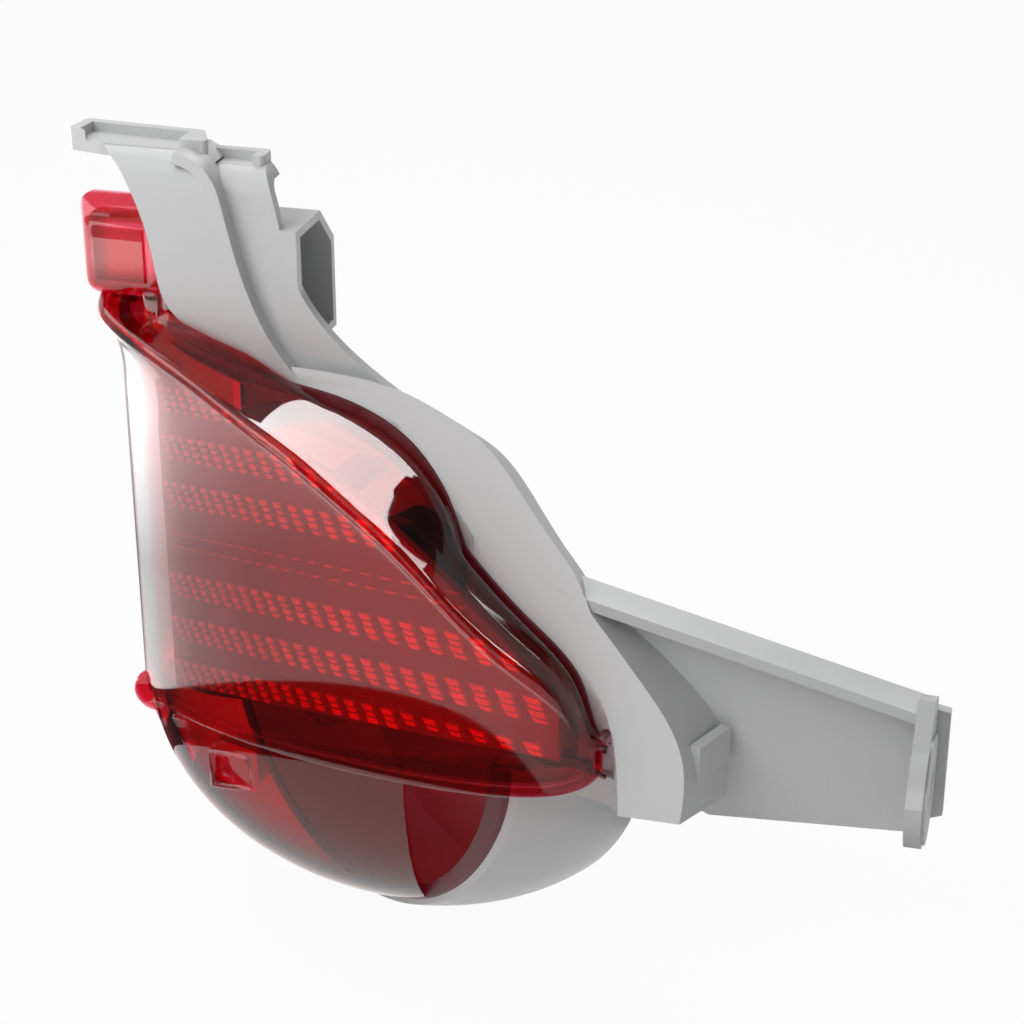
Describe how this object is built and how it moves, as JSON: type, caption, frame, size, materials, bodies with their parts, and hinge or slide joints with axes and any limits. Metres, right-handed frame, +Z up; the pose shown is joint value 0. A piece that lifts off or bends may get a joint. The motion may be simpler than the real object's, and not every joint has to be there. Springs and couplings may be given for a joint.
{
  "type": "tail light cluster",
  "caption": "Wrap-around vehicle tail light cluster: clear red lens over prism rows, grey moulded housing with fin, hook tray, locating tube and bolted arm",
  "frame": {"origin": "centre of the arm's bolt hole on its washer face", "axes": "+X forward along the bolt, +Y inboard, +Z up"},
  "size_m": [0.1878, 0.0865, 0.1742],
  "materials": {
    "red_lens": "clear red PMMA, polished moulded faces",
    "prism_red": "clear red PMMA with moulded prisms",
    "housing_grey": "light grey moulded PC/ABS, semi-gloss",
    "sealant": "hot-melt butyl bead",
    "metallised": "vacuum metallised PC",
    "screw_steel": "zinc plated",
    "bulb_glass": "clear bulb glass",
    "socket_black": "moulded glass-filled nylon",
    "seal_rubber": "moulded EPDM",
    "contact_brass": "tinned brass strip",
    "foam": "closed-cell foam"
  },
  "bodies": {
    "root": {"outer_lens": "red_lens", "prism_plate": "prism_red", "housing": "housing_grey", "lens_seal": "sealant", "reflector": "metallised", "reflector_screws": "screw_steel", "tail_stop_bulb": "bulb_glass", "marker_bulb": "bulb_glass", "tail_stop_socket": "socket_black", "marker_socket": "socket_black", "tail_stop_seal": "seal_rubber", "marker_seal": "seal_rubber", "tail_stop_contacts": "contact_brass", "marker_contacts": "contact_brass", "vent_cap": "seal_rubber", "body_gasket": "foam"}
  },
  "joints": []
}
